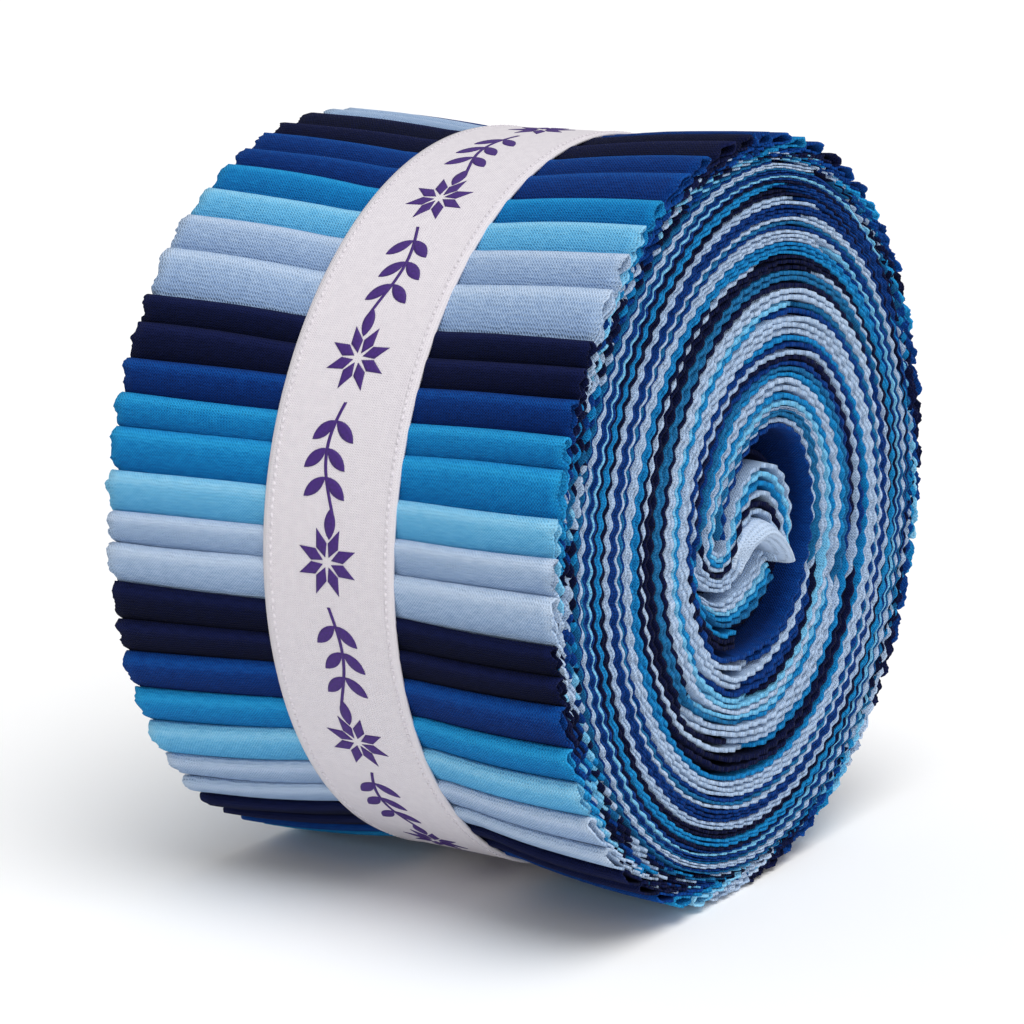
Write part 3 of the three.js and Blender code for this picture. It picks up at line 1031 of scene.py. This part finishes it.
def makeCorner():
    # an upturned U carried along the line: the rise falls off from the ridge as 1 - |s|^roundness, and
    # past the sides both legs go straight down among the turns, and run into some of them
    guide, along = evenSteps(smoothLine(cornerLine, 10), corner["step"])
    flat = slopeNormals(guide[:, :2])
    around = np.linspace(-corner["halfTurn"], corner["halfTurn"], corner["around"])
    side = np.clip(around, -1, 1)
    leg = np.maximum(np.abs(around) - 1, 0) * 2 * corner["legDepth"]
    wrinkle = corner["wrinkle"] * np.sin(along / 1.7)[:, None] * np.sin(2.2 * around)[None, :]
    rise = guide[:, 3, None] * (1 - np.abs(side) ** corner["roundness"]) + wrinkle - leg
    half = guide[:, 2, None] * side
    x = halfWidth - corner["footDrop"] + rise
    y = guide[:, 0, None] + flat[:, 0, None] * half
    z = axisHeight + guide[:, 1, None] + flat[:, 1, None] * half
    middle = np.stack([x, y, z], axis=-1)
    way = np.gradient(middle, axis=0)
    over = np.gradient(middle, axis=1)
    normal = np.cross(way, over)
    normal /= np.maximum(np.linalg.norm(normal, axis=-1, keepdims=True), 1e-9)
    cloth = Cloth()
    thickness = np.full(x.shape, corner["thickness"])
    uv = np.stack([along[:, None] + np.zeros_like(x), half + np.zeros_like(x)], axis=-1)
    edge = np.zeros_like(x)
    edge[-3:] = 1
    cloth.add(middle, normal, thickness, uv, edge, corner["tint"])
    return cloth


cornerCloth = makeCorner()
piece = makeMesh("folded_corner", cornerCloth, materials["ice"])
dress(piece)
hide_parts("loose_corner")
print(f"loose corner folded, {cornerCloth.span:.1f} mm across")

# The woven ribbon: a band that leans a little, its two ends lapped at the back
ribbon = {
    "radius": 46.9,
    "thickness": 0.42,
    "width": 18.6,
    "lean": 0.6,
    "shift": 0.2,
    "lapMiddle": 8.0,
    "lap": 26.0,
    "lapLift": 0.5,
    "wave": 0.10,
    "steps": 380,
    "acrossSteps": 22,
}
ribbonWeave = {
    "cloth": (0.74, 0.70, 0.74),
    "shadow": (0.52, 0.48, 0.54),
    "shadowAt": 0.15,
    "clothAt": 0.55,
    "start": 0.36,
    "cloud": 0.25,
    "cloudScale": 0.9,
    "threads": 0.07,
    "edge": 0.1,
    "ribPitch": 0.30,
    "ribDepth": 0.05,
    "ribStrength": 0.6,
    "roughness": 0.62,
    "sheen": 0.15,
    "specular": 0.35,
}
ink = {
    "deep": (0.030, 0.005, 0.120),
    "full": (0.050, 0.008, 0.185),
    "deepAt": 0.35,
    "fullAt": 0.65,
    "speckleScale": 3.5,
    "roughness": 0.7,
}
stitches = {"inset": 1.1, "pitch": 0.95, "length": 0.36, "width": 0.26, "height": 0.16}
prints = {
    "repeats": 12,
    "start": 30.0,
    "starRadius": 4.5,
    "starWaist": 2.3,
    "starHub": 0.45,
    "diamondShare": 0.90,
    "stemLength": 13.5,
    "stemBend": 1.3,
    "stemWidth": 0.42,
    "leafLength": 3.7,
    "leafWidth": 1.5,
    "leafPairs": 3,
    "leafAngle": 48,
    "firstLeaf": 0.16,
    "leafGap": 0.25,
    "lastLeaf": 0.92,
    "rise": 0.03,
    "film": 0.05,
}


def ribbonPlace(run, across, proud):
    # wraps a flat place of the ribbon, in mm along and across, onto the band: the run along is an
    # angle, the middle sways by lean times its sine, and the radius has slow waves of its own; towards
    # its last end the ribbon climbs on its first
    angle = run / ribbon["radius"]
    meet = math.radians(ribbon["lapMiddle"] - ribbon["lap"]) + 2 * np.pi
    climb = smoothstep(angle, meet, meet + math.radians(ribbon["lap"]) * 0.4)
    radius = ribbon["radius"] - ribbon["thickness"] / 2 + proud + ribbon["lapLift"] * climb
    waves = np.sin(3 * angle + 0.7) + 0.6 * np.sin(7 * angle) * np.sin(across / 5.0 + 0.5)
    radius = radius - ribbon["wave"] * (1 + waves / 2)
    x = ribbon["shift"] + ribbon["lean"] * np.sin(angle) + across
    outward = np.stack([np.zeros_like(angle), np.cos(angle), np.sin(angle)], axis=-1)
    place = outward * radius[..., None]
    place[..., 0] = x
    place[..., 2] += axisHeight
    return place, outward


def makeRibbonCloth():
    middle, lap = math.radians(ribbon["lapMiddle"]), math.radians(ribbon["lap"])
    angle = np.linspace(middle - lap / 2, middle + 2 * np.pi + lap / 2, ribbon["steps"])
    across = np.linspace(-0.5, 0.5, ribbon["acrossSteps"]) * ribbon["width"]
    run, over = np.meshgrid(angle * ribbon["radius"], across, indexing="ij")
    place, outward = ribbonPlace(run, over, 0.0)
    edge = (np.abs(over) > ribbon["width"] / 2 - 0.4).astype(float)
    thickness = ribbon["thickness"] * (1 - 0.25 * edge)
    cloth = Cloth()
    cloth.add(place, outward, thickness, np.stack([run, over], axis=-1), edge, 0.0)
    return cloth


def ribbonMaterial():
    # close weave: ribs across and along from sines of the UV map, and a soft sheen
    tools = NodeTools(
        "ribbon_cloth",
        Roughness=ribbonWeave["roughness"],
        Sheen_Weight=ribbonWeave["sheen"],
        Specular_IOR_Level=ribbonWeave["specular"],
    )
    sums = tools.sums
    split = tools.add("ShaderNodeSeparateXYZ")
    tools.join(tools.uv, split.inputs[0])
    turn = 2 * math.pi / ribbonWeave["ribPitch"]
    ribs = sums("SINE", sums("MULTIPLY", split.outputs[0], turn))
    threads = sums("SINE", sums("MULTIPLY", split.outputs[1], turn * 0.8))
    weft = sums("ADD", sums("MULTIPLY", ribs, threads), sums("MULTIPLY", ribs, 0.5))
    relief = tools.bump(weft, ribbonWeave["ribStrength"], ribbonWeave["ribDepth"])
    tools.join(relief, tools.shader.inputs["Normal"])
    cloud = sums("MULTIPLY", tools.noise(tools.uv, ribbonWeave["cloudScale"], 5), ribbonWeave["cloud"])
    grain = sums("ADD", sums("MULTIPLY", weft, ribbonWeave["threads"]), cloud)
    edge = tools.add("ShaderNodeAttribute", attribute_name="edge").outputs["Fac"]
    lift = sums("ADD", grain, sums("MULTIPLY", edge, ribbonWeave["edge"]))
    stops = [(ribbonWeave[f"{word}At"], ribbonWeave[word]) for word in ("shadow", "cloth")]
    tools.ramp(sums("ADD", lift, ribbonWeave["start"]), stops)
    return tools.material


def inkMaterial():
    # printing ink on the weave: purple, deeper in specks
    tools = NodeTools("ribbon_ink", Roughness=ink["roughness"])
    speckle = tools.noise(tools.uv, ink["speckleScale"], 4)
    tools.ramp(speckle, [(ink[f"{word}At"], ink[word]) for word in ("deep", "full")])
    return tools.material


def printPatch(cloth, run, across):
    # a thin film of ink over a small grid of flat places
    place, outward = ribbonPlace(run, across, ribbon["thickness"] / 2 + prints["rise"])
    thickness = np.full(run.shape, prints["film"])
    cloth.add(place, outward, thickness, np.stack([run, across], axis=-1), np.zeros_like(run), 0.0)


def printStar(cloth, middle):
    # eight diamonds round a hub: each the blend of its hub, two waist and tip corners
    u, v = np.meshgrid(np.linspace(0, 1, 5), np.linspace(0, 1, 5), indexing="ij")
    for k in range(8):
        turn = math.radians(45 * k + 22.5)
        heading = [turn, turn - math.radians(22.5), turn, turn + math.radians(22.5)]
        reach = [prints["starHub"], prints["starWaist"], prints["starRadius"], prints["starWaist"]]
        corners = [(r * math.cos(a), r * math.sin(a)) for r, a in zip(reach, heading)]
        weights = [(1 - u) * (1 - v), u * (1 - v), u * v, (1 - u) * v]
        centre = np.mean(corners, axis=0)
        corners = [centre + prints["diamondShare"] * (np.array(c) - centre) for c in corners]
        run = middle + sum(w * c[0] for w, c in zip(weights, corners))
        across = sum(w * c[1] for w, c in zip(weights, corners))
        printPatch(cloth, run, across)


def printSprig(cloth, middle, flip):
    # a bent stem, across = bend * sin, with lens-shaped leaves in pairs and one at its tip
    length = prints["stemLength"]
    share, side = np.meshgrid(np.linspace(0, 1, 17), [-0.5, 0.5], indexing="ij")
    bend = flip * prints["stemBend"] * np.sin(np.pi * share * 1.15)
    printPatch(cloth, middle + length * (share - 0.5), bend + side * prints["stemWidth"])
    roots = prints["firstLeaf"] + prints["leafGap"] * np.arange(prints["leafPairs"])
    places = [(root, way) for root in roots for way in (-1, 1)] + [(prints["lastLeaf"], 0)]
    u, v = np.meshgrid(np.linspace(0, 1, 9), np.linspace(-0.5, 0.5, 4), indexing="ij")
    for share, way in places:
        heading = math.radians(prints["leafAngle"] * way)
        width = prints["leafWidth"] * (0.04 + np.sin(np.pi * u) ** 0.8)
        along = prints["leafLength"] * u + 0.15
        root = length * (share - 0.5)
        rootAcross = flip * prints["stemBend"] * math.sin(math.pi * share * 1.15)
        run = middle + root + along * math.cos(heading) - v * width * math.sin(heading)
        across = rootAcross + along * math.sin(heading) + v * width * math.cos(heading)
        printPatch(cloth, run, across)


def makePrints():
    cloth = Cloth()
    whole = 2 * np.pi * ribbon["radius"]
    repeat = whole / prints["repeats"]
    start = math.radians(prints["start"]) * ribbon["radius"]
    for k in range(prints["repeats"] - 1):
        printStar(cloth, start + repeat * k)
        printSprig(cloth, start + repeat * (k + 0.5), 1 if k % 2 else -1)
    return cloth


def roundBody():
    # a cube of 3 x 3 points a face pushed out to a ball: 26 points and 24 quads
    points, faces, index = [], [], {}
    for axis in range(3):
        for side in (-1, 1):
            grid = {}
            for i in range(3):
                for j in range(3):
                    spot = [0, 0, 0]
                    spot[axis] = side
                    spot[(axis + 1) % 3] = i - 1
                    spot[(axis + 2) % 3] = j - 1
                    key = tuple(spot)
                    if key not in index:
                        index[key] = len(points)
                        points.append(np.array(spot) / np.linalg.norm(spot))
                    grid[i, j] = index[key]
            for i in range(2):
                for j in range(2):
                    quad = [grid[i, j], grid[i + 1, j], grid[i + 1, j + 1], grid[i, j + 1]]
                    faces.append(quad if side > 0 else quad[::-1])
    return np.array(points), np.array(faces)


def makeStitches():
    cloth = Cloth()
    points, faces = roundBody()
    count = int(2 * np.pi * ribbon["radius"] / stitches["pitch"])
    start = math.radians(ribbon["lapMiddle"] + ribbon["lap"] / 2)
    run = (start + np.arange(count) * 2 * np.pi / count) * ribbon["radius"]
    for side in (-1, 1):
        across = np.full(count, side * (ribbon["width"] / 2 - stitches["inset"]))
        place, outward = ribbonPlace(run, across, ribbon["thickness"] / 2)
        ahead = np.stack([np.zeros(count), -outward[:, 2], outward[:, 1]], axis=-1)
        sideways = np.tile([1.0, 0.0, 0.0], (count, 1))
        axes = [outward * stitches["height"], ahead * stitches["length"], sideways * -stitches["width"]]
        cloth.addBodies(np.concatenate([place, *axes], axis=1), points, faces)
    return cloth


ribbonFinish = ribbonMaterial()
ribbonCloth = makeRibbonCloth()
band = makeMesh("woven_ribbon", ribbonCloth, ribbonFinish)
printed = makeMesh("ribbon_print", makePrints(), inkMaterial())
sewn = makeMesh("ribbon_stitches", makeStitches(), ribbonFinish)
for piece in (band, printed, sewn):
    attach(piece, "root")
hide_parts("ribbon")
print("ribbon tied and printed")


# Camera, light and floor
view = {
    "offset": (212.55, -344.33, 84.30),
    "azimuth": 32.123,
    "elevation": 12.105,
    "lens": 112.5,
    "sensor": 36,
    "clip": (0.01, 20),
}


def makeCamera():
    camera = bpy.data.cameras.new("photoView")
    camera.lens = view["lens"]
    camera.sensor_width = view["sensor"]
    camera.clip_start, camera.clip_end = view["clip"]
    holder = bpy.data.objects.new("photoView", camera)
    turn = math.radians(view["azimuth"])
    tilt = math.radians(view["elevation"])
    back = Vector((math.sin(turn) * math.cos(tilt), -math.cos(turn) * math.cos(tilt), math.sin(tilt)))
    holder.location = (Vector(view["offset"]) + Vector((0, 0, axisHeight))) * metre
    holder.rotation_mode = "QUATERNION"
    holder.rotation_quaternion = (-back).to_track_quat("-Z", "Y")
    bpy.context.scene.collection.objects.link(holder)
    bpy.context.scene.camera = holder


studio = {
    "world": 0.50,
    "floorTone": 0.97,
    "floorRoughness": 0.9,
    "floorReach": 6.0,
    "overhead": {"toward": (-0.32, 0.24, -1.0), "spread": 42.0, "strength": 1.95},
    "fill": {"toward": (-0.95, 0.50, -0.35), "spread": 60.0, "strength": 0.55},
}


def makeLight(name, values):
    lamp = bpy.data.lights.new(name, "SUN")
    lamp.angle = math.radians(values["spread"])
    lamp.energy = values["strength"]
    holder = bpy.data.objects.new(name, lamp)
    holder.location = (0, 0, 1)
    holder.rotation_mode = "QUATERNION"
    holder.rotation_quaternion = Vector(values["toward"]).to_track_quat("-Z", "Y")
    bpy.context.scene.collection.objects.link(holder)


def makeStudio():
    scene = bpy.context.scene
    scene.view_settings.view_transform = "Standard"
    world = bpy.data.worlds.new("studio")
    world.use_nodes = True
    world.node_tree.nodes["Background"].inputs["Color"].default_value = (1, 1, 1, 1)
    world.node_tree.nodes["Background"].inputs["Strength"].default_value = studio["world"]
    scene.world = world
    for name in ("overhead", "fill"):
        makeLight(name, studio[name])
    mesh = bpy.data.meshes.new("floor")
    reach = studio["floorReach"]
    corners = [(-reach, -reach, 0), (reach, -reach, 0), (reach, reach, 0), (-reach, reach, 0)]
    mesh.from_pydata(corners, [], [(0, 1, 2, 3)])
    floor = bpy.data.objects.new("floor", mesh)
    material = bpy.data.materials.new("paleFloor")
    material.use_nodes = True
    shader = material.node_tree.nodes["Principled BSDF"]
    shader.inputs["Base Color"].default_value = (studio["floorTone"],) * 3 + (1,)
    shader.inputs["Roughness"].default_value = studio["floorRoughness"]
    mesh.materials.append(material)
    scene.collection.objects.link(floor)


makeCamera()
makeStudio()
